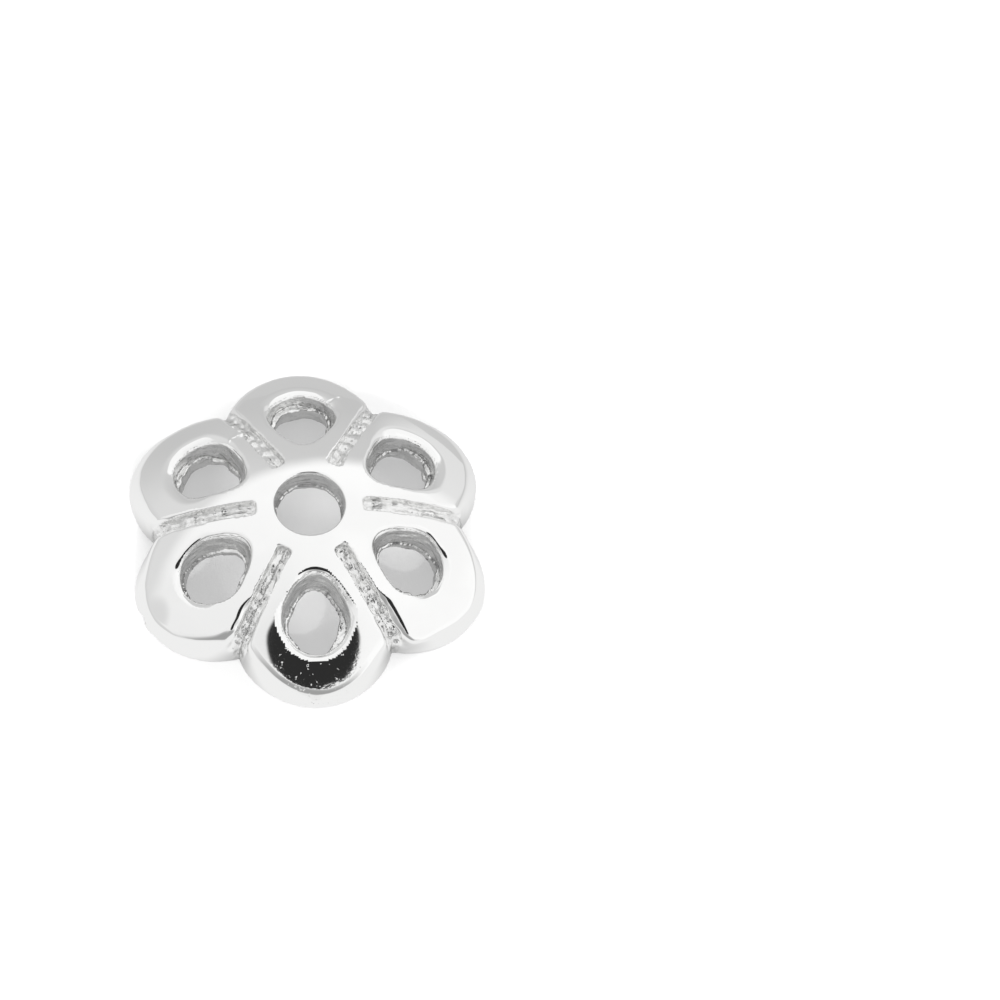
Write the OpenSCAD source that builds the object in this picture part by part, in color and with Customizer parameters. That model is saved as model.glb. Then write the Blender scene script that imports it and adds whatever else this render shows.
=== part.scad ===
// Flower bead cap: a cast dome of six petals, each pierced by a drop-shaped
// hole, round a thread hole. The underside is hollow and seats a round bead.
// Millimetres, +Z up. The origin is on the thread hole's axis at the level of
// the rim's flat foot, and one petal points along -Y.

/* [Dome] */
// Size across opposite petals
flower_d = 10; // [9.6:0.1:10.4]
// Height of the dome on the axis, before the thread hole takes its crown away
hub_h = 2.04; // [1.95:0.01:2.15]
// Radius of the spherical top
dome_r = 7.8; // [7.5:0.1:8.2]
// Diameter of the bead that the hollow underside seats
bead_d = 12; // [11.8:0.1:13]
// Radius at which the hollow meets the foot
seat_r = 3.8; // [3.6:0.05:3.85]

/* [Petals] */
// Radius of a petal's round end at the foot
petal_r = 2.05; // [1.95:0.01:2.1]
// How far the flared rim leans in from the foot to its knee
rim_lean = 0.2; // [0.12:0.01:0.24]
// Height of the rim's knee
rim_h = 0.4; // [0.3:0.01:0.45]
// How far the upper wall leans in from the knee to the top of the blank
wall_lean = 0.04; // [0.02:0.01:0.08]

/* [Petal holes] */
// Distance from the axis to the centre of a hole's wide end
wide_c = 3.06; // [3.02:0.01:3.1]
// Radius of a hole's wide end at the dome
wide_r = 0.92; // [0.85:0.01:0.95]
// Distance from the axis to the centre of a hole's narrow end
narrow_c = 2.42; // [2.38:0.01:2.46]
// Radius of a hole's narrow end at the dome
narrow_r = 0.58; // [0.52:0.01:0.62]
// Lean of a hole's walls, in degrees, which narrows it towards the underside
hole_draft = 8; // [4:1:10]
// Width and depth of the bevelled lip round each hole
lip = 0.18; // [0.1:0.01:0.2]

/* [Grooves] */
// Width of the groove between two petals
groove_w = 0.4; // [0.3:0.01:0.44]
// Depth of the groove below the dome
groove_depth = 0.25; // [0.15:0.01:0.3]
// Distance from the axis to a groove's inner end
groove_start = 1.4; // [1.36:0.01:1.5]

/* [Thread hole] */
// Diameter of the thread hole
thread_d = 1.84; // [1.7:0.02:1.9]
// Width of the bevel at the thread hole's top edge
thread_bevel = 0.06; // [0.04:0.01:0.1]

/* [Hidden] */
PETALS = 6;
SMOOTH = 96;                       // facets of a drawn circle
LIP_FACETS = 32;                   // facets of a lip's cones
CUT = 0.5;                         // how far a cutter runs past what it cuts
SEAM = 0.01;                       // how far inside the tangent a hole's straight side lies
petal_step = 360 / PETALS;
petal_c = flower_d / 2 - petal_r;  // axis to the centre of a petal's round end
core_r = petal_c - petal_r / 2;    // plain core that joins the petals
blank_h = hub_h + CUT;             // height of the flower before the dome is cut
dome_z = hub_h - dome_r;           // height of the dome's centre
bead_r = bead_d / 2;
bead_z = -sqrt(bead_r * bead_r - seat_r * seat_r);

// Height of the dome at a distance from the axis
function dome_at(r) = dome_z + sqrt(dome_r * dome_r - r * r);

// Slope of the dome, in degrees, at a distance from the axis
function dome_slope(r) = asin(r / dome_r);

// Radius at height z of a hole's round end, from its radius r where its centre c meets the dome
function end_r(c, r, z) = r + (z - dome_at(c)) * tan(hole_draft);

// Angle at which a hole's straight sides leave its round ends, the same at every height
side_turn = acos((end_r(narrow_c, narrow_r, 0) - end_r(wide_c, wide_r, 0)) / (wide_c - narrow_c));

// Point at height z where a hole's straight side meets a round end
function side_point(c, r, z, way) =
    let (reach = end_r(c, r, z) - SEAM)
    [c + reach * cos(side_turn), way * reach * sin(side_turn), z];

// The four corners of the straight-sided stretch of a hole at height z
function side_ring(z) = [
    side_point(wide_c, wide_r, z, -1),
    side_point(wide_c, wide_r, z, 1),
    side_point(narrow_c, narrow_r, z, 1),
    side_point(narrow_c, narrow_r, z, -1)
];

// Places its children once for each petal, the first one along -Y
module each_petal(turn = 0) {
    for (i = [0 : PETALS - 1])
        rotate([0, 0, i * petal_step - 90 + turn]) children();
}

// One petal's blank: a round post with a flared rim
module petal_blank() {
    translate([petal_c, 0, 0])
        rotate_extrude($fn = SMOOTH)
            polygon([
                [0, 0],
                [petal_r, 0],
                [petal_r - rim_lean, rim_h],
                [petal_r - rim_lean - wall_lean, blank_h],
                [0, blank_h]
            ]);
}

// The domed flower before it is pierced
module domed_flower() {
    intersection() {
        union() {
            cylinder(r = core_r, h = blank_h, $fn = SMOOTH);
            each_petal() petal_blank();
        }
        translate([0, 0, dome_z]) sphere(r = dome_r, $fn = 2 * SMOOTH);
    }
}

// The bead's place in the underside
module bead_hollow() {
    translate([0, 0, bead_z]) sphere(r = bead_r, $fn = 2 * SMOOTH);
}

// One round end of a petal's hole
module hole_end(c, r) {
    translate([c, 0, -CUT])
        cylinder(r1 = end_r(c, r, -CUT), r2 = end_r(c, r, blank_h), h = blank_h + CUT, $fn = SMOOTH);
}

// A petal's drop-shaped hole: two round ends and the straight sides between them
module drop_hole() {
    hole_end(wide_c, wide_r);
    hole_end(narrow_c, narrow_r);
    polyhedron(
        points = concat(side_ring(-CUT), side_ring(blank_h)),
        faces = [[0, 1, 2, 3], [7, 6, 5, 4], [4, 5, 1, 0], [5, 6, 2, 1], [6, 7, 3, 2], [7, 4, 0, 3]]
    );
}

// The bevel round a petal's hole, tilted as the dome is there
module drop_lip() {
    mid = (wide_c + wide_r + narrow_c - narrow_r) / 2;
    reach = mid - narrow_c + narrow_r;
    sink = (dome_r - sqrt(dome_r * dome_r - reach * reach)) / 2;
    translate([mid, 0, dome_at(mid)])
        rotate([0, dome_slope(mid), 0])
            hull() {
                translate([wide_c - mid, 0, -lip - sink])
                    cylinder(r1 = wide_r, r2 = wide_r + 2 * lip, h = 2 * lip, $fn = LIP_FACETS);
                translate([narrow_c - mid, 0, -lip - sink])
                    cylinder(r1 = narrow_r, r2 = narrow_r + 2 * lip, h = 2 * lip, $fn = LIP_FACETS);
            }
}

// A groove that follows the dome at an even depth and runs out between two petals
module groove() {
    difference() {
        translate([groove_start, -groove_w / 2, 0])
            cube([flower_d / 2 + CUT - groove_start, groove_w, blank_h]);
        translate([0, 0, dome_z]) sphere(r = dome_r - groove_depth, $fn = 2 * SMOOTH);
    }
}

// The thread hole with its bevelled top edge
module thread_hole() {
    r = thread_d / 2;
    translate([0, 0, -CUT]) cylinder(r = r, h = blank_h + CUT, $fn = SMOOTH);
    translate([0, 0, dome_at(r) - thread_bevel])
        cylinder(r1 = r, r2 = r + 4 * thread_bevel, h = 4 * thread_bevel, $fn = SMOOTH);
}

// The whole cap, cast in one piece
module flower_cap() {
    color("silver")
        difference() {
            domed_flower();
            bead_hollow();
            thread_hole();
            each_petal() drop_hole();
            each_petal() drop_lip();
            each_petal(petal_step / 2) groove();
        }
}

flower_cap();
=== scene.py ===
"""A cast and silver-plated flower bead cap on a white table.

The cap's skin is one implicit surface in millimetres: a dome cut to six petals, pierced, grooved and
hollowed, with the rolled edges, draft, flash and as-cast roughness of a small zinc casting. It is
polygonised here, and its shading normals come from the same field.
"""

import math

import bpy
import numpy as np
from mathutils import Matrix, Vector


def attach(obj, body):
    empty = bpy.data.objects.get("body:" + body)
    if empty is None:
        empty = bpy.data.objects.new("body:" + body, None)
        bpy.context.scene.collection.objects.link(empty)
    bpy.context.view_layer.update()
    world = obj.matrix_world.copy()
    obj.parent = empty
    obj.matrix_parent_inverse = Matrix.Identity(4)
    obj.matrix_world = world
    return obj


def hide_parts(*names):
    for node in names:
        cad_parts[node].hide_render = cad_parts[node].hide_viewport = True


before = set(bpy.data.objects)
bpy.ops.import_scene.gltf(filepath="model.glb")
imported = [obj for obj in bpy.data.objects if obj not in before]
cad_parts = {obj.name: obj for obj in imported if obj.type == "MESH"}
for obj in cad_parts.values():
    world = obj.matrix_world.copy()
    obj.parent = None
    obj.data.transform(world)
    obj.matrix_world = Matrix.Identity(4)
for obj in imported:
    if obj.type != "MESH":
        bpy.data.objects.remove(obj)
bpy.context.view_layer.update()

# Sizes, in millimetres
MM = 0.001
PETALS = 6
STEP = 2 * math.pi / PETALS
DOME_R = 7.8  # spherical top
DOME_Z = -5.76  # height of its centre
BEAD_R = 6.0  # hollow underside
BEAD_Z = -4.643  # height of its centre
PETAL_C = 2.95  # axis to the centre of a petal's round end, at the foot
PETAL_R = 2.05
LEAN_C = -0.69  # how the centre and the radius change with height
LEAN_R = 0.118
CORE_R = 1.9  # plain core that joins the petals
BORE_R = 0.925  # thread hole
WIDE_C, WIDE_R = 3.05, 0.925  # wide end of a petal's hole
NARROW_C, NARROW_R = 2.42, 0.585  # its narrow end
DRAFT = math.tan(math.radians(11))  # lean of the holes' walls
EDGE_R = 0.40  # roll of the petals' outer edge
GROOVE_HALF = 0.2
GROOVE_DEPTH = 0.25
GROOVE_START = 1.4  # axis to a groove's inner end
GROOVE_TAPER = 0.1  # how much its half width shrinks with depth
CELL = 0.048  # grid of the polygoniser
GRID_LOW, GRID_HIGH = np.array([-4.8, -5.2, -0.15]), np.array([4.8, 5.2, 2.15])
NEAR_SURFACE = 0.22  # the unevenness is added to the field this close to the plain surface
TINY = 1e-6


# Noise
def _lattice(ix, iy, iz, seed):
    """A repeatable value in -1..1 for every lattice point."""
    n = (ix * 73856093) ^ (iy * 19349663) ^ (iz * 83492791) ^ (seed * 2654435761 & 0x7FFFFFFF)
    n = (n ^ (n >> 13)) * 1274126177 & 0x7FFFFFFF
    n = (n ^ (n >> 16)) * 668265263 & 0x7FFFFFFF
    return (n & 0xFFFFF) / 524287.5 - 1.0


def noise(x, y, z, scale, seed):
    """Smooth value noise; scale is the size of a feature in millimetres."""
    x, y, z = x / scale + 101.3, y / scale + 57.7, z / scale + 31.1
    fx, fy, fz = np.floor(x), np.floor(y), np.floor(z)
    ix, iy, iz = fx.astype(np.int64), fy.astype(np.int64), fz.astype(np.int64)
    u, v, w = (t * t * t * (t * (t * 6 - 15) + 10) for t in (x - fx, y - fy, z - fz))
    total = 0.0
    for dx, wx in ((0, 1 - u), (1, u)):
        for dy, wy in ((0, 1 - v), (1, v)):
            for dz, wz in ((0, 1 - w), (1, w)):
                total = total + wx * wy * wz * _lattice(ix + dx, iy + dy, iz + dz, seed)
    return total


def step(lo, hi, t):
    """Smooth step from 0 at lo to 1 at hi."""
    t = np.clip((t - lo) / (hi - lo), 0.0, 1.0)
    return t * t * (3 - 2 * t)


def both(a, b, radius, cosine=0.0):
    """What is inside a and inside b, with the edge between them rolled to a radius.

    The cosine is that of the angle between the two surfaces' normals.
    """
    u, v = a + radius, b + radius
    corner = (u > v * cosine) & (v > u * cosine)
    apex = np.sqrt(np.maximum(u * u + v * v - 2 * u * v * cosine, 0) / (1 - cosine * cosine))
    return np.where(corner, apex, np.maximum(u, v)) - radius


def waves(value, x, y, z, layers):
    """A value with layers of noise added: each has an amount, a feature size and a seed."""
    for amount, size, seed in layers:
        value = value + amount * noise(x, y, z, size, seed)
    return value


def close_to(x, y, place_x, place_y, reach):
    """1 at a place, falling off within its reach."""
    return np.exp(-((x - place_x) ** 2 + (y - place_y) ** 2) / reach**2)


# The casting

# Petals are numbered from the front one, anticlockwise from above, so 1 is at the front right and 5 at
# the front left.

# Marks of the casting: x, y, half length, half width, direction in degrees and depth. A negative depth is
# a bump.
MARKS = [
    (0.80, 3.58, 0.13, 0.03, 33, 0.02),  # nicks beside the back petal's hole
    (1.04, 3.70, 0.05, 0.035, 20, 0.03),
    (-1.53, 2.52, 0.10, 0.16, 120, -0.10),  # lumps across the back left groove
    (-1.33, 2.22, 0.06, 0.10, 120, -0.07),
    (-1.80, 2.40, 0.09, 0.03, 20, -0.02),
    (-1.95, 2.28, 0.05, 0.03, 70, -0.02),
    (-4.40, -2.17, 0.20, 0.06, 120, 0.05),  # dent in the front left petal's wall
    (2.41, -0.17, 0.17, 0.05, 0, 0.06),  # hollow spots in the grooves
    (1.69, -2.79, 0.13, 0.08, 150, 0.08),
    (1.93, -3.25, 0.05, 0.05, 0, 0.06),
    (1.56, -2.95, 0.05, 0.05, 0, -0.05),
    (-1.64, -2.95, 0.05, 0.09, 60, 0.06),
    (-1.75, -3.15, 0.05, 0.05, 0, 0.06),
]
MARK_REACH = 0.8  # farthest that a mark is felt
MARK_DEPTHS = (0.45, 0.3)  # depths between which marks fade

# A fuller place of the rim, and a petal's corner that is rolled more than the rest: x, y, reach and how
# much more.
RIM_BULGE = (2.60, -3.45, 0.60, 0.20)
BULGE_HEIGHTS = (0.1, 0.8)  # the bulge grows between these
WORN_CORNER = (-2.35, -3.25, 0.18, 0.25)
SHARPEST, FLATTEST = -0.9, 0.98  # limits of the cosine at the rim's edge

# Outline of the petal holes
END_INSET, HUB_INSET = 0.10, 0.06  # how far the two ends stand in from the plain drop
# Straighter places: petal, along, across, reach and inset.
STRAIGHTER = [(5, 3.12, -1.0, 0.30, 0.075), (1, 3.33, 0.95, 0.24, 0.05)]

# Lips of the petal holes: radii
LIP_END = 0.52  # at the outer end
LIP_HUB = {"front": 0.19, "back": 0.14, "side": 0.12}  # at the hub end
LIP_FLANK = 0.07
LIP_FAR = 0.12  # flanks that are farther from the front, which grow outwards
LIP_FAR_MORE = 0.10
LIP_RING = 0.36  # the front petal's flanks, outer part
LIP_RIGHT = 0.15  # the front petal's right flank, inner part
LIP_WRAP = {4: 0.4, 2: 0.15}  # how much farther round the hole the outer lip runs on these petals
LIP_TURN = math.radians(42)  # how far a lip rolls over before the wall cuts it off
LIP_TURN_FRONT = math.radians(8)  # more for the front petal
LIP_OVERRUN = math.radians(12)  # the lip fades out so far beyond its turn
LIP_FADE = 0.05
CREASE = 0.06  # height of the crease where a lip starts, as a share of its radius
CREASE_ROLL, CREASE_COSINE = 0.01, 0.94

# Walls of the holes
LEDGE = 0.055  # width of the ledge of flash all round
LEDGE_SLOPE = 0.25  # depth over which it grows, as a share of its width
LEDGE_LEVEL = 0.64  # its depth at the hub end
LEDGE_RISE = {"back": 0.16, "other": 0.08}  # how much higher it lies at the outer end
LEDGE_CENTRE = 2.8  # the directions below are taken from this place along the petal
# Wider stretches of the ledge: petal, direction round the hole (0 is outwards), spread in degrees and how
# much wider.
FLASH = [
    (0, 65, 40, 0.09),
    (0, -45, 35, 0.08),
    (1, -50, 50, 0.15),
    (1, 10, 30, 0.03),
    (5, 35, 35, 0.08),
    (5, 180, 40, 0.02),
    (2, -20, 60, 0.10),
    (3, 0, 60, 0.12),
    (4, -10, 60, 0.10),
]
FIN, FIN_HEIGHT = 0.035, 0.12  # fin at the thread hole's lower edge
BORE_DRAFT = 0.4  # draft of the thread hole as a share of the other holes'

# Rolls of the other edges
FOOT_ROLL = 0.05  # where the foot meets the rim and the hollow
WALL_ROLL = 0.02  # where a petal hole's wall meets its lip and the underside
BORE_ROLL = 0.05  # the thread hole's edges
GROOVE_END_ROLL, GROOVE_FLOOR_ROLL, GROOVE_EDGE_ROLL = 0.12, 0.06, 0.03
WORN_LEFT, WORN_RIGHT, WORN_OTHERS = 0.17, 0.24, 0.08  # more at the grooves' outer ends

# Unevenness of the casting: amount, size of a feature and seed
RIM_WAVES = [(0.012, 0.8, 1), (0.004, 0.25, 2)]
HOLE_WAVES = [(0.012, 0.7, 15), (0.005, 0.22, 16)]
LEDGE_WIDTH_WAVES = [(0.5, 0.35, 3), (0.3, 0.15, 4)]  # as shares of the width
LEDGE_LEVEL_WAVES = [(0.04, 0.5, 5), (0.02, 0.15, 20)]
BORE_WAVES = [(0.012, 0.6, 17)]
FIN_WAVES = [(0.03, 0.3, 7), (0.02, 0.13, 18)]
GROOVE_SIDE_WAVES = [(0.018, 0.25, 9)]
GROOVE_SWELLS = [(0.03, 0.5, 11)]
GROOVE_STREAKS = [(0.03, 0.5, 19)]
SKIN_WAVES = [(0.0018, 1.1, 13), (0.0007, 0.45, 14)]
BACK_GROOVES_Y = 1.2  # the grooves behind this are the roughest

HOLE_SIDE = (WIDE_R - NARROW_R) / (WIDE_C - NARROW_C)
HOLE_REACH = math.sqrt(1 - HOLE_SIDE**2)


class Place:
    """Points in the coordinates of the flower."""

    def __init__(self, p):
        self.x, self.y, self.z = p[:, 0], p[:, 1], p[:, 2]
        self.flat = 0 * self.z
        self.r = np.hypot(self.x, self.y)
        turn = np.arctan2(self.y, self.x) + math.pi / 2
        petal = np.round(turn / STEP)
        turn = turn - petal * STEP
        gap = STEP / 2 - np.abs(turn)
        way = np.where(turn > 0, -1.0, 1.0)
        self.petal = petal % PETALS
        self.along, self.across = self.r * np.cos(turn), self.r * np.sin(turn)  # of the petal
        self.side = np.abs(self.across)
        self.g_along, self.g_across = self.r * np.cos(gap), way * self.r * np.sin(gap)  # of the groove
        self.g_side = np.abs(self.g_across)
        self.depth = DOME_R - np.sqrt(self.r**2 + (self.z - DOME_Z) ** 2)  # below the dome
        self.inside = np.clip(self.depth, 0, None)
        self.under = BEAD_R - np.sqrt(self.r**2 + (self.z - BEAD_Z) ** 2)  # inside the hollow's sphere
        # 1 outwards from the wide end of the petal's hole, -1 towards the hub
        self.outer = (self.along - WIDE_C) / np.maximum(np.hypot(self.along - WIDE_C, self.side), TINY)
        self.front = self.petal == 0
        self.back = (self.petal >= 2) & (self.petal <= 4)


def drop(along, side):
    """Distance to a petal hole's plain outline, negative inside it."""
    back = (WIDE_C - along) * HOLE_REACH - side * HOLE_SIDE
    run = (WIDE_C - NARROW_C) * HOLE_REACH
    wide = np.hypot(along - WIDE_C, side) - WIDE_R
    narrow = np.hypot(along - NARROW_C, side) - NARROW_R
    flank = side * HOLE_REACH + (WIDE_C - along) * HOLE_SIDE - WIDE_R
    return np.where(back < 0, wide, np.where(back > run, narrow, flank))


def domed_flower(at, rough):
    """The dome, cut to petals by the leaning rim."""
    out = at.along - (PETAL_C + LEAN_C * at.z)
    reach = np.maximum(np.hypot(out, at.side), TINY)
    out, aside = out / reach, at.side / reach
    lean = -LEAN_C * out - LEAN_R
    slant = np.sqrt(1 + lean**2)
    rim = (reach - PETAL_R - LEAN_R * at.z) / slant
    *where, more = RIM_BULGE
    rim = rim - more * close_to(at.x, at.y, *where) * step(*BULGE_HEIGHTS, at.z)
    if rough:
        rim = waves(rim, at.x, at.y, at.z, RIM_WAVES)
    facing = (out * at.along + aside * at.side + lean * (at.z - DOME_Z)) / (slant * (DOME_R - at.depth))
    *where, more = WORN_CORNER
    roll = EDGE_R + more * close_to(at.x, at.y, *where)
    f = np.maximum(both(-at.depth, rim, roll, np.clip(facing, SHARPEST, FLATTEST)), -at.depth)
    return np.where(at.r < CORE_R, -at.depth, f)


def hole_outline(at, rough):
    """Distance to a petal hole's outline, negative inside it."""
    hole = drop(at.along, at.side)
    hole = hole + END_INSET * step(-0.1, 0.9, at.outer) + HUB_INSET * step(2.3, 2.0, at.along)
    for petal, along, across, reach, inset in STRAIGHTER:
        near = close_to(at.along, at.across, along, across, reach)
        hole = hole + np.where(at.petal == petal, inset * near, 0)
    return waves(hole, at.x, at.y, at.flat, HOLE_WAVES) if rough else hole


def roll_lip(f, hole, at):
    """Rolls the surface over the edge of the petal holes, with a crease where some of the lips start."""
    hub_end = step(2.25, 1.95, at.along)
    ring = step(2.5, 2.95, at.along)
    wrap = np.where(at.petal == 2, LIP_WRAP[2], 0.0)
    wrap = np.where((at.petal == 4) & (at.across > 0), LIP_WRAP[4], wrap)
    end = np.where(at.back, step(-0.2 - wrap, 0.5 - wrap, at.outer), step(0.35, 0.8, at.outer))
    far = np.where(at.petal == 5, -at.across, at.across) > 0
    flank = np.where(far | at.back, LIP_FAR + LIP_FAR_MORE * step(2.4, 2.75, at.along), LIP_FLANK)
    inner = np.where(at.across > 0, LIP_RIGHT, LIP_FLANK)
    flank = np.where(at.front, inner + (LIP_RING - inner) * ring, flank)
    hub = np.where(at.front, LIP_HUB["front"], np.where(at.back, LIP_HUB["back"], LIP_HUB["side"]))
    lip = flank + (LIP_END - flank) * end + (hub - flank) * hub_end

    turn = LIP_TURN + np.where(at.front, LIP_TURN_FRONT, 0.0) * (1 - hub_end)
    creased = np.where(at.front, np.where(at.across > 0, ring, 1 - hub_end), np.where(at.back, 0.0, end))
    raised = f - creased * CREASE * lip
    rolled = both(f, both(raised, -(hole + lip * (1 - np.sin(turn))), lip), CREASE_ROLL, CREASE_COSINE)
    # below the lip the surface is left as it was, so that the ledges can stand into the hole
    low = lip * (1 - np.cos(turn + LIP_OVERRUN))
    return rolled + (f - rolled) * step(low, low + LIP_FADE, at.inside)


def wall_grain(at, seed):
    """Unevenness of a hole's wall, which runs round it and fades at its edge."""
    return 0.014 * noise(at.x * 0.6, at.y * 0.6, at.z * 3, 0.3, seed) * step(0.02, 0.15, at.inside)


def wall_inset(at, rough):
    """How far a petal hole's wall stands in from the outline: its draft, and a ledge of flash low down."""
    direction = np.degrees(np.arctan2(at.across, at.along - LEDGE_CENTRE))
    width = np.full_like(at.r, LEDGE)
    for petal, centre, spread, more in FLASH:
        off = (direction - centre + 180) % 360 - 180
        width += np.where(at.petal == petal, more * np.exp(-((off / spread) ** 2)), 0)
    rise = np.where(at.back, LEDGE_RISE["back"], LEDGE_RISE["other"])
    level = LEDGE_LEVEL - rise * step(0.0, 0.6, at.outer)
    inset = DRAFT * at.inside
    if rough:
        width = width * np.clip(waves(1, at.x, at.y, at.flat, LEDGE_WIDTH_WAVES), 0.2, None)
        level = waves(level, at.x, at.y, at.flat, LEDGE_LEVEL_WAVES)
        inset = inset + wall_grain(at, 6)
    return inset + width * np.clip((at.inside - level) / (LEDGE_SLOPE * width), 0, 1)


def thread_hole(at, rough):
    """Distance to the thread hole's wall, with a thin fin at its lower edge."""
    bore = at.r - BORE_R + DRAFT * BORE_DRAFT * at.inside
    if rough:
        bore = waves(bore, at.x, at.y, at.flat, BORE_WAVES)
        fin = np.clip(waves(FIN, at.x, at.y, at.flat, FIN_WAVES), 0.01, None)
        bore = bore + fin * np.clip((at.under + FIN_HEIGHT) / (LEDGE_SLOPE * fin), 0, 1)
        bore = bore + wall_grain(at, 8)
    return bore


def groove(at, rough):
    """Distance to a groove, negative inside it, and distance to its sides alone."""
    half = GROOVE_HALF - GROOVE_TAPER * at.inside
    floor = at.inside - GROOVE_DEPTH
    if rough:
        half = waves(half, at.x, at.y, at.z, GROOVE_SIDE_WAVES)
        fine = np.where(at.y > BACK_GROOVES_Y, 0.03, 0.02)
        lumps = 0.045 * noise(at.x, at.y, at.z, 0.2, 10) + fine * noise(at.x, at.y, at.z, 0.14, 21)
        floor = waves(floor + lumps, at.x, at.y, at.z, GROOVE_SWELLS)
        floor = waves(floor, at.g_along, at.g_across * 4, 9 * at.petal, GROOVE_STREAKS)
    sides = at.g_side - half
    channel = both(sides, GROOVE_START - at.g_along, GROOVE_END_ROLL)
    return both(channel, floor, GROOVE_FLOOR_ROLL), sides


def groove_edge(at):
    """Roll of the grooves' edges, worn where they run out, most of all beside the front petal."""
    beside_front = ((at.petal == 5) & (at.across > 0)) | ((at.petal == 1) & (at.across < 0))
    much = np.where(at.x < 0, WORN_LEFT, WORN_RIGHT) * step(2.8, 3.3, at.g_along)
    return GROOVE_EDGE_ROLL + np.where(beside_front, much, WORN_OTHERS * step(2.5, 4.0, at.g_along))


def raw_places(at, hole, sides, valley):
    """1 where the casting was never polished: in the grooves, in the holes and on the underside."""
    t = at.inside
    in_groove = step(0.03, -0.03, sides) * step(0.04, 0.12, t)
    in_groove = in_groove * step(-0.02, 0.03, at.g_along - GROOVE_START) * step(0.75, 0.4, t)
    in_hole = step(0.03, 0.0, hole) * step(0.08, 0.16, t)
    in_bore = step(1.0, 0.95, at.r) * step(0.03, 0.1, t)
    below = step(-0.12, -0.02, at.under)
    return np.clip(in_groove + valley + in_hole + in_bore + below, 0, 1)


def add_marks(f, at):
    for mx, my, long, short, way, dent in MARKS:
        near = np.abs(at.x - mx) + np.abs(at.y - my) < MARK_REACH
        dx, dy = at.x[near] - mx, at.y[near] - my
        c, s = math.cos(math.radians(way)), math.sin(math.radians(way))
        u, v = dx * c + dy * s, dy * c - dx * s
        shape = dent * np.exp(-((u / long) ** 2) - (v / short) ** 2)
        f[near] += shape * step(*MARK_DEPTHS, at.inside[near])


def field(p, rough=True):
    """The casting: negative inside the metal. Returns the field and how rough as cast each place is."""
    at = Place(p)
    hole = hole_outline(at, rough)
    f = roll_lip(domed_flower(at, rough), hole, at)
    f = both(f, at.under, FOOT_ROLL)
    f = both(f, -at.z, FOOT_ROLL)
    f = both(f, -(hole + wall_inset(at, rough)), WALL_ROLL)
    f = both(f, -thread_hole(at, rough), BORE_ROLL)
    cut, sides = groove(at, rough)
    f = both(f, -cut, groove_edge(at))
    if not rough:
        return f, np.zeros_like(f)
    valley = step(0.16, 0.06, at.g_side) * step(3.7, 3.85, at.g_along)  # where two petals' rims meet
    cast = raw_places(at, hole, sides, valley)
    f = f + 0.02 * valley * noise(at.x, at.y, at.z, 0.12, 12)
    f = waves(f, at.x, at.y, at.z, SKIN_WAVES)
    add_marks(f, at)
    return np.maximum(f, -at.z), cast


def streaks(p):
    """Where a place lies in the raw casting's grain, which runs along the grooves and round the holes."""
    at = Place(p)
    in_groove = (at.g_side < 0.3) & (at.g_along > GROOVE_START - 0.1)
    number = at.petal + (at.g_across < 0)
    along_groove = [at.g_along * 0.35, at.g_across * 1.5, at.depth * 0.8 + 3 * number]
    round_hole = [at.x * 0.4, at.y * 0.4, at.depth * 1.8]
    return np.where(in_groove, along_groove, round_hole).T


def gradient(p, eps):
    """The field's gradient by central differences."""
    g = np.empty_like(p)
    for i in range(3):
        d = np.zeros(3)
        d[i] = eps
        g[:, i] = (field(p + d)[0] - field(p - d)[0]) / (2 * eps)
    return g


def unit_gradient(p, eps):
    """The direction in which the field rises."""
    g = gradient(p, eps)
    return g / np.linalg.norm(g, axis=1)[:, None]


def settle(p, rounds):
    """Moves points along the gradient onto the surface, by forward differences."""
    eps, flattest, farthest = 0.002, 0.05, 0.4 * CELL
    for _ in range(rounds):
        here = field(p)[0]
        g = np.stack([field(p + eps * axis)[0] - here for axis in np.eye(3)], 1) / eps
        move = here / np.maximum((g**2).sum(1), flattest)
        p = p - np.clip(move, -farthest, farthest)[:, None] * g
    return p


# Polygoniser
CORNERS = [(i, j, k) for i in (0, 1) for j in (0, 1) for k in (0, 1)]


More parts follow.
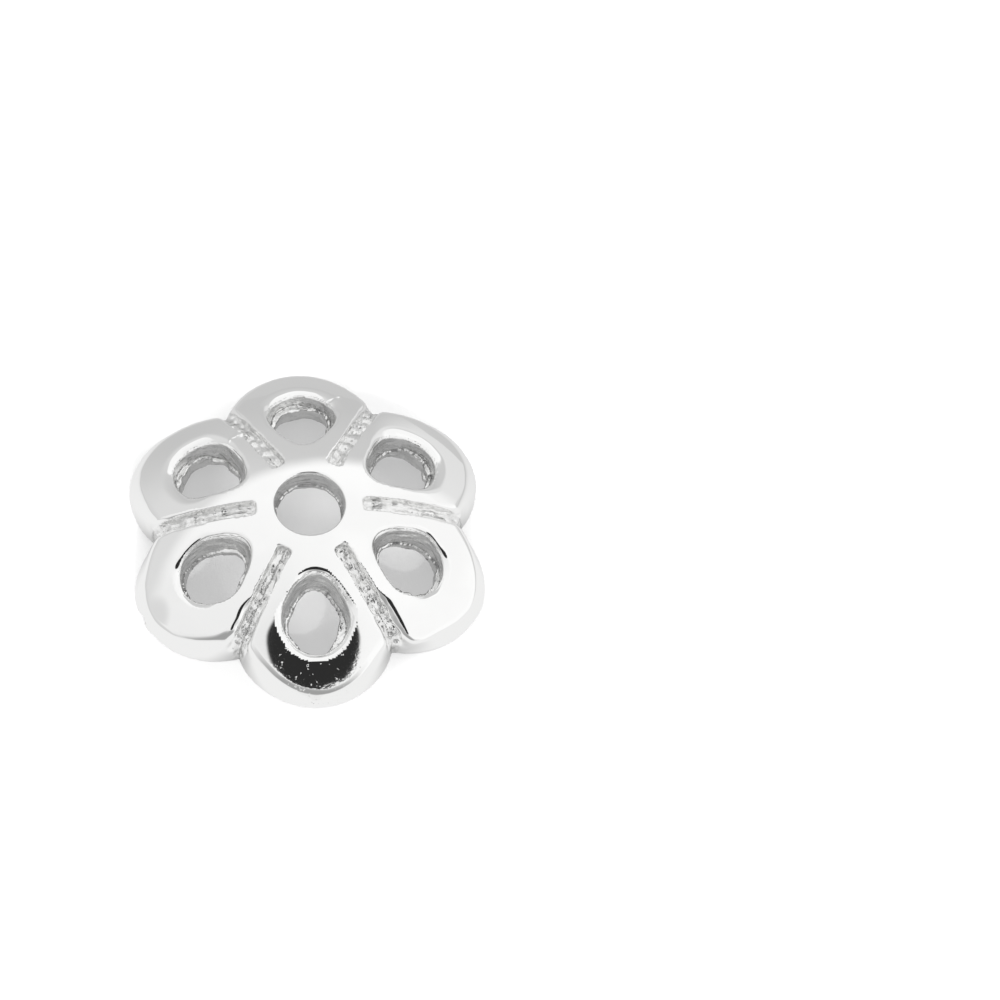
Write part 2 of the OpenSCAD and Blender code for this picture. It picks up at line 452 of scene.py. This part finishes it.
def surface_net():
    """One vertex in every grid cell that the surface crosses, one quad for every edge that it crosses."""
    n = np.ceil((GRID_HIGH - GRID_LOW) / CELL).astype(int)
    axes = [GRID_LOW[i] + CELL * np.arange(n[i]) for i in range(3)]
    grid = np.stack(np.meshgrid(*axes, indexing="ij"), -1).reshape(-1, 3)
    values = field(grid, rough=False)[0]
    near = np.abs(values) < NEAR_SURFACE
    values[near] = field(grid[near])[0]
    values = values.reshape(n)
    inside = values < 0
    ni, nj, nk = n - 1
    count = sum(inside[i : ni + i, j : nj + j, k : nk + k].astype(np.int8) for i, j, k in CORNERS)
    cells = np.argwhere((count > 0) & (count < 8))
    number = np.full(count.shape, -1)
    number[tuple(cells.T)] = np.arange(len(cells))

    total, hits = np.zeros((len(cells), 3)), np.zeros(len(cells))
    for a in CORNERS:
        for axis in range(3):
            if a[axis]:
                continue
            b = [a[i] + (i == axis) for i in range(3)]
            va = values[tuple((cells + a).T)]
            vb = values[tuple((cells + b).T)]
            crossed = (va < 0) != (vb < 0)
            t = np.where(crossed, va / np.where(crossed, va - vb, 1), 0)
            total += crossed[:, None] * (np.array(a) + t[:, None] * (np.array(b) - np.array(a)))
            hits += crossed
    points = GRID_LOW + CELL * (cells + total / hits[:, None])

    quads = []
    for axis in range(3):
        one, two = (axis + 1) % 3, (axis + 2) % 3
        ahead = [slice(None)] * 3
        ahead[axis] = slice(1, None)
        behind = [slice(None)] * 3
        behind[axis] = slice(None, -1)
        a, b = inside[tuple(behind)], inside[tuple(ahead)]
        for sign, mask in ((1, a & ~b), (-1, ~a & b)):
            at = np.argwhere(mask)
            ring = []
            for u, v in ((-1, -1), (0, -1), (0, 0), (-1, 0)):
                cell = at.copy()
                cell[:, one] += u
                cell[:, two] += v
                ring.append(number[tuple(cell.T)])
            quads.append(np.stack(ring[::sign], 1))
    return points, np.concatenate(quads)


def relax(points, quads, rounds):
    """Evens out the quads, and puts the points back on the surface each time."""
    for _ in range(rounds):
        total, hits = np.zeros_like(points), np.zeros(len(points))
        for i in range(4):
            a, b = quads[:, i], quads[:, (i + 1) % 4]
            for s, t in ((a, b), (b, a)):
                for c in range(3):
                    total[:, c] += np.bincount(s, points[t, c], len(points))
                hits += np.bincount(s, minlength=len(points))
        points = settle(points + 0.5 * (total / hits[:, None] - points), 2)
    return points


def corner_normals(points, quads):
    """A normal for every corner of every quad.

    Round the front petal's hole a crease parts the petal from the lip. A corner beyond the crease takes the
    quad's own normal there, so that the normals aren't blended across it.
    """
    half_width, inner, outer, deepest, turn = 1.25, -1.7, -4.3, 0.12, math.radians(8)
    normals = unit_gradient(points, 0.003)[quads]
    middle = points[quads].mean(1)
    low = DOME_R - np.linalg.norm(middle - [0, 0, DOME_Z], axis=1)
    near = (np.abs(middle[:, 0]) < half_width) & (middle[:, 1] < inner) & (middle[:, 1] > outer)
    near &= low < deepest
    own = unit_gradient(settle(middle[near], 2), 0.001)[:, None]
    beyond = (normals[near] * own).sum(2) < math.cos(turn)
    normals[near] = np.where(beyond[..., None], own, normals[near])
    return normals.reshape(-1, 3)


def make_cap():
    """The cap's object, with its normals and the attributes that its material reads."""
    points, quads = surface_net()
    points = relax(settle(points, 2), quads, 3)
    points = settle(points, 2)
    normals = corner_normals(points, quads)
    cast = field(points)[1]

    mesh = bpy.data.meshes.new("flower_casting")
    mesh.vertices.add(len(points))
    mesh.vertices.foreach_set("co", (points * MM).ravel())
    mesh.loops.add(quads.size)
    mesh.loops.foreach_set("vertex_index", quads.ravel())
    mesh.polygons.add(len(quads))
    mesh.polygons.foreach_set("loop_start", np.arange(0, quads.size, 4))
    mesh.update(calc_edges=True)
    mesh.validate()
    mesh.polygons.foreach_set("use_smooth", np.ones(len(mesh.polygons), bool))
    mesh.attributes.new("cast", "FLOAT", "POINT").data.foreach_set("value", cast.astype(np.float32))
    lay = mesh.attributes.new("grain", "FLOAT_VECTOR", "POINT")
    lay.data.foreach_set("vector", streaks(points).astype(np.float32).ravel())
    mesh.normals_split_custom_set([tuple(n) for n in normals])
    print("casting:", len(points), "points,", len(quads), "quads")
    cap = bpy.data.objects.new("flower_casting", mesh)
    bpy.context.scene.collection.objects.link(cap)
    return cap


# Node helpers
class Nodes:
    """A node tree with short calls for the nodes used here."""

    def __init__(self, tree):
        self.tree = tree
        tree.nodes.clear()

    def add(self, kind, **settings):
        node = self.tree.nodes.new(kind)
        for key, value in settings.items():
            setattr(node, key, value)
        return node

    def join(self, out, into):
        self.tree.links.new(out, into)

    def feed(self, socket, value):
        if isinstance(value, bpy.types.NodeSocket):
            self.join(value, socket)
        else:
            socket.default_value = value

    def math(self, operation, a, b):
        node = self.add("ShaderNodeMath", operation=operation)
        self.feed(node.inputs[0], a)
        self.feed(node.inputs[1], b)
        return node.outputs[0]

    def scale_add(self, value, factor, plus):
        """The value times a factor, plus a number."""
        out = self.math("MULTIPLY_ADD", value, factor)
        out.node.inputs[2].default_value = plus
        return out

    def ramp(self, value, lo, hi, low=0.0, high=1.0):
        """Smooth step from low to high while the value goes from lo to hi."""
        node = self.add("ShaderNodeMapRange", interpolation_type="SMOOTHSTEP")
        for socket, v in zip(node.inputs[:5], (value, lo, hi, low, high)):
            self.feed(socket, v)
        return node.outputs[0]

    def vector(self, operation, vector, other):
        node = self.add("ShaderNodeVectorMath", operation=operation)
        self.feed(node.inputs[0], vector)
        self.feed(node.inputs[1], other)
        return node.outputs["Value"]

    def dot(self, vector, other):
        return self.vector("DOT_PRODUCT", vector, other)

    def mix(self, factor, a, b):
        """a where the factor is 0, b where it is 1."""
        rest = self.math("MULTIPLY", a, self.math("SUBTRACT", 1.0, factor))
        return self.math("ADD", rest, self.math("MULTIPLY", b, factor))

    def noise(self, vector, scale, detail, roughness=0.5):
        node = self.add("ShaderNodeTexNoise")
        self.feed(node.inputs["Vector"], vector)
        node.inputs["Scale"].default_value = scale
        node.inputs["Detail"].default_value = detail
        node.inputs["Roughness"].default_value = roughness
        return node.outputs["Fac"]


# Silver plate
POLISHED, AS_CAST = (0.955, 0.955, 0.95, 1), (0.76, 0.76, 0.755, 1)
WORN_END = (0.1, -4.3, 0.9)  # middle of the worn end of the front petal
WORN_FROM, WORN_TO = 0.9, 1.3  # distances between which the wear fades
RELIEF = 0.04  # height of the relief, in millimetres


def silver():
    """Silver plate, polished or as cast by the attribute "cast"."""
    mat = bpy.data.materials.new("silver_plate")
    mat.use_nodes = True
    n = Nodes(mat.node_tree)
    out = n.add("ShaderNodeOutputMaterial")
    shader = n.add("ShaderNodeBsdfPrincipled")
    shader.inputs["Metallic"].default_value = 1.0
    n.join(shader.outputs[0], out.inputs["Surface"])

    place = n.add("ShaderNodeTexCoord").outputs["Object"]
    scaled = n.add("ShaderNodeVectorMath", operation="SCALE")
    n.join(place, scaled.inputs[0])
    scaled.inputs["Scale"].default_value = 1 / MM
    mm = scaled.outputs[0]
    cast = n.add("ShaderNodeAttribute", attribute_type="GEOMETRY", attribute_name="cast").outputs["Fac"]
    lay = n.add("ShaderNodeAttribute", attribute_type="GEOMETRY", attribute_name="grain").outputs["Vector"]

    # colour: bright plate, duller where the casting was never polished
    streak = n.noise(lay, 5.0, 3.0, 0.6)
    blotch = n.noise(mm, 3.0, 3.0, 0.6)
    colour = n.add("ShaderNodeMix", data_type="RGBA")
    dull = n.ramp(n.mix(0.5, streak, blotch), 0.42, 0.62, 0.2, 1.0)
    n.feed(colour.inputs[0], n.math("MULTIPLY", cast, dull))
    colour.inputs[6].default_value = POLISHED
    colour.inputs[7].default_value = AS_CAST
    n.join(colour.outputs[2], shader.inputs["Base Color"])

    # gloss: polished skin, rough walls and groove floors
    skin = n.scale_add(n.noise(mm, 2.5, 3.0), 0.03, 0.03)
    raw = n.scale_add(blotch, 0.2, 0.06)
    n.join(n.mix(cast, skin, raw), shader.inputs["Roughness"])

    # relief: streaky grain of the raw casting, and small nicks in the worn end of the front petal
    worn = n.ramp(n.vector("DISTANCE", mm, WORN_END), WORN_FROM, WORN_TO, 1.0, 0.0)
    specks = n.ramp(n.noise(mm, 9.5, 3.0, 0.6), 0.635, 0.70)
    groups = n.ramp(n.noise(mm, 1.6, 2.0), 0.42, 0.52)
    nicks = n.math("MULTIPLY", n.math("MULTIPLY", specks, groups), 0.4)
    scuff = n.math("MULTIPLY", n.noise(mm, 4.0, 3.0, 0.6), 0.06)
    polished = n.math("MULTIPLY", n.math("ADD", nicks, scuff), worn)
    fine = n.math("MULTIPLY", n.noise(mm, 12.0, 3.0, 0.6), 0.3)
    grain = n.math("MULTIPLY", n.math("ADD", streak, fine), cast)
    bump = n.add("ShaderNodeBump")
    bump.inputs["Strength"].default_value = 1.0
    bump.inputs["Distance"].default_value = RELIEF * MM
    n.join(n.math("ADD", grain, polished), bump.inputs["Height"])
    n.join(bump.outputs["Normal"], shader.inputs["Normal"])
    return mat


# Camera
CAMERA_TURN = math.radians(-7.457)
CAMERA_TILT = math.radians(61.114)
CAMERA_ROLL = math.radians(4.297)
IMAGE = 1000  # pixels
FOCAL = 6000.0  # pixels
SENSOR = 36.0
PIXELS_PER_MM = 37.963
AXIS_AT = (306.92, 540.03)  # where the thread hole's axis meets the table in the image


def toward(turn, tilt):
    """The direction at an angle in degrees to the right of the camera's side, and at an elevation."""
    t, e = math.radians(turn) + CAMERA_TURN, math.radians(tilt)
    return Vector((math.sin(t) * math.cos(e), -math.cos(t) * math.cos(e), math.sin(e)))


def make_camera():
    """The picture's camera, which looks past the cap: the thread hole's axis lies off the image's centre."""
    back = toward(0, math.degrees(CAMERA_TILT))
    right = toward(90, 0)
    up = back.cross(right)
    c, s = math.cos(CAMERA_ROLL), math.sin(CAMERA_ROLL)
    right, up = right * c + up * s, up * c - right * s
    distance = FOCAL / PIXELS_PER_MM * MM
    where = back * distance
    middle = IMAGE / 2
    aside, above = (AXIS_AT[0] - middle) / FOCAL, (middle - AXIS_AT[1]) / FOCAL
    aim = (back + right * aside + up * above).normalized()
    right = (right - aim * right.dot(aim)).normalized()
    up = aim.cross(right)
    data = bpy.data.cameras.new("camera")
    data.sensor_width = SENSOR
    data.lens = FOCAL * SENSOR / IMAGE
    data.clip_start, data.clip_end = 0.01, 20.0
    cam = bpy.data.objects.new("camera", data)
    cam.matrix_world = Matrix(
        (
            (right.x, up.x, aim.x, where.x),
            (right.y, up.y, aim.y, where.y),
            (right.z, up.z, aim.z, where.z),
            (0, 0, 0, 1),
        )
    )
    bpy.context.scene.collection.objects.link(cam)
    bpy.context.scene.camera = cam


# Light
TABLE_GLOW = 0.45
TABLE_PAINT = 0.2
TABLE_HALF = 1.0  # metres
TABLE_Z, REFLECTION_Z = -0.00002, -0.00001  # metres; both lie below the foot, clear of each other
LAMPS_AWAY = 0.6  # metres


def cosine(degrees):
    """For the edges of round patches of light, given by their radius in degrees."""
    return math.cos(math.radians(degrees))


def sine(degrees):
    """For heights above the horizon, given in degrees."""
    return math.sin(math.radians(degrees))


def make_world():
    """A white light tent, bright overhead and to the front right, and grey low down behind.

    At the front are a dark room above a pale table edge and the dark disc of the camera. A grey stand is at
    the left.
    """
    world = bpy.data.worlds.new("light_tent")
    bpy.context.scene.world = world
    world.use_nodes = True
    n = Nodes(world.node_tree)
    out = n.add("ShaderNodeOutputWorld")
    background = n.add("ShaderNodeBackground")
    n.join(background.outputs[0], out.inputs["Surface"])
    direction = n.add("ShaderNodeTexCoord").outputs["Generated"]
    split = n.add("ShaderNodeSeparateXYZ")
    n.join(direction, split.inputs[0])
    height = split.outputs["Z"]

    def patch(turn, tilt, outer, inner, full=1.0):
        """A round patch, given by its place and by the radii between which it fades, in degrees."""
        return n.ramp(n.dot(direction, toward(turn, tilt)), cosine(outer), cosine(inner), 0.0, full)

    ahead = n.dot(direction, toward(0, 0))
    front = n.ramp(ahead, 0.5, 0.88)
    # behind: grey, paler at the sides
    level = n.ramp(ahead, -0.85, -0.5, 0.62, 0.74)
    level = n.math("MULTIPLY", level, n.ramp(height, sine(4), sine(30), 0.92, 1.0))
    low_right = patch(145, 8, 22, 10, 0.6)
    level = n.mix(low_right, level, 0.92)
    # overhead and to the right: white
    panel = patch(30, 58, 81, 74)
    flank = patch(100, 45, 42, 34, 0.85)
    cloth = n.ramp(n.noise(direction, 1.6, 3.0), 0.35, 0.6, 0.95, 1.0)
    leaning = n.ramp(n.dot(direction, toward(-35, 30)), 0.3, 0.9, 1.03, 0.89)
    cloth = n.math("MULTIPLY", cloth, leaning)
    level = n.mix(n.math("MAXIMUM", panel, flank), level, cloth)
    # in front: a dark room above a pale table edge
    below_top = n.ramp(height, sine(40), sine(43.5), 1.0, 0.0)
    room = n.math("MULTIPLY", below_top, n.ramp(height, sine(2), sine(12)))
    level = n.mix(n.math("MULTIPLY", room, front), level, 0.36)
    edge = n.math("MULTIPLY", n.ramp(height, sine(2), sine(12), 1.0, 0.0), front)
    level = n.mix(edge, level, 0.86)
    # a grey stand at the left, and the camera
    level = n.mix(patch(-80, 29, 8, 3), level, 0.72)
    level = n.mix(patch(12, 61.4, 19.0, 17.6), level, 0.028)
    n.join(level, background.inputs["Strength"])
    background.inputs["Color"].default_value = (1, 1, 1, 1)


def area_light(name, turn, tilt, size, power):
    """A square soft light aimed at the cap, which lights the table and isn't reflected in the metal."""
    data = bpy.data.lights.new(name, "AREA")
    data.size = size
    data.energy = power
    lamp = bpy.data.objects.new(name, data)
    at = toward(turn, tilt)
    lamp.location = at * LAMPS_AWAY
    lamp.rotation_mode = "QUATERNION"
    lamp.rotation_quaternion = at.to_track_quat("Z", "Y")
    lamp.visible_glossy = False
    lamp.visible_camera = False
    bpy.context.scene.collection.objects.link(lamp)


def table(name, height):
    """A flat table top. Returns the object, its shader and the nodes of its material."""
    mesh = bpy.data.meshes.new(name)
    corners = [(TABLE_HALF * i, TABLE_HALF * j, height) for i, j in ((-1, -1), (1, -1), (1, 1), (-1, 1))]
    mesh.from_pydata(corners, [], [(0, 1, 2, 3)])
    top = bpy.data.objects.new(name, mesh)
    bpy.context.scene.collection.objects.link(top)
    mat = bpy.data.materials.new(name)
    mat.use_nodes = True
    n = Nodes(mat.node_tree)
    out = n.add("ShaderNodeOutputMaterial")
    glow = n.add("ShaderNodeEmission")
    mesh.materials.append(mat)
    return top, n, out, glow


def white_table():
    """The table as the camera sees it: white, with a glow that keeps the shade under the cap pale."""
    top, n, out, glow = table("table", TABLE_Z)
    glow.inputs["Strength"].default_value = TABLE_GLOW
    paint = n.add("ShaderNodeBsdfDiffuse")
    paint.inputs["Color"].default_value = (TABLE_PAINT, TABLE_PAINT, TABLE_PAINT, 1)
    total = n.add("ShaderNodeAddShader")
    n.join(glow.outputs[0], total.inputs[0])
    n.join(paint.outputs[0], total.inputs[1])
    n.join(total.outputs[0], out.inputs["Surface"])
    top.visible_glossy = False


def reflected_table():
    """The table as the metal reflects it, a card whose glow is painted light: pale in front, grey behind,
    and a painted shadow under the cap.
    """
    top, n, out, glow = table("table_reflection", REFLECTION_Z)
    place = n.add("ShaderNodeTexCoord").outputs["Object"]
    away = n.add("ShaderNodeVectorMath", operation="LENGTH")
    n.join(place, away.inputs[0])
    # painted reflection of the lit table: the glow fades from pale in front to grey behind
    open_floor = n.ramp(n.dot(place, -toward(0, 0)), 0.0 * MM, 7.0 * MM, 0.90, 0.60)
    # painted shadow under the cap: the glow falls to 0.40 within 3.7 mm of the axis and rises to the open
    # floor by 5 mm
    strength = n.mix(n.ramp(away.outputs["Value"], 3.7 * MM, 5.0 * MM), 0.40, open_floor)
    n.join(strength, glow.inputs["Strength"])
    n.join(glow.outputs[0], out.inputs["Surface"])
    top.visible_camera = top.visible_diffuse = top.visible_shadow = False


# The scene
cap = make_cap()
cap.data.materials.append(silver())
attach(cap, "root")
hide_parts("flower_cap")

white_table()
reflected_table()

make_camera()
make_world()
for i in range(4):
    area_light("low_light_%d" % i, 20 + 90 * i, 22, 0.4, 9.0)
area_light("front_light", 24, 37, 0.02, 2.2)

scene = bpy.context.scene
scene.view_settings.view_transform = "Standard"
scene.view_settings.look = "None"
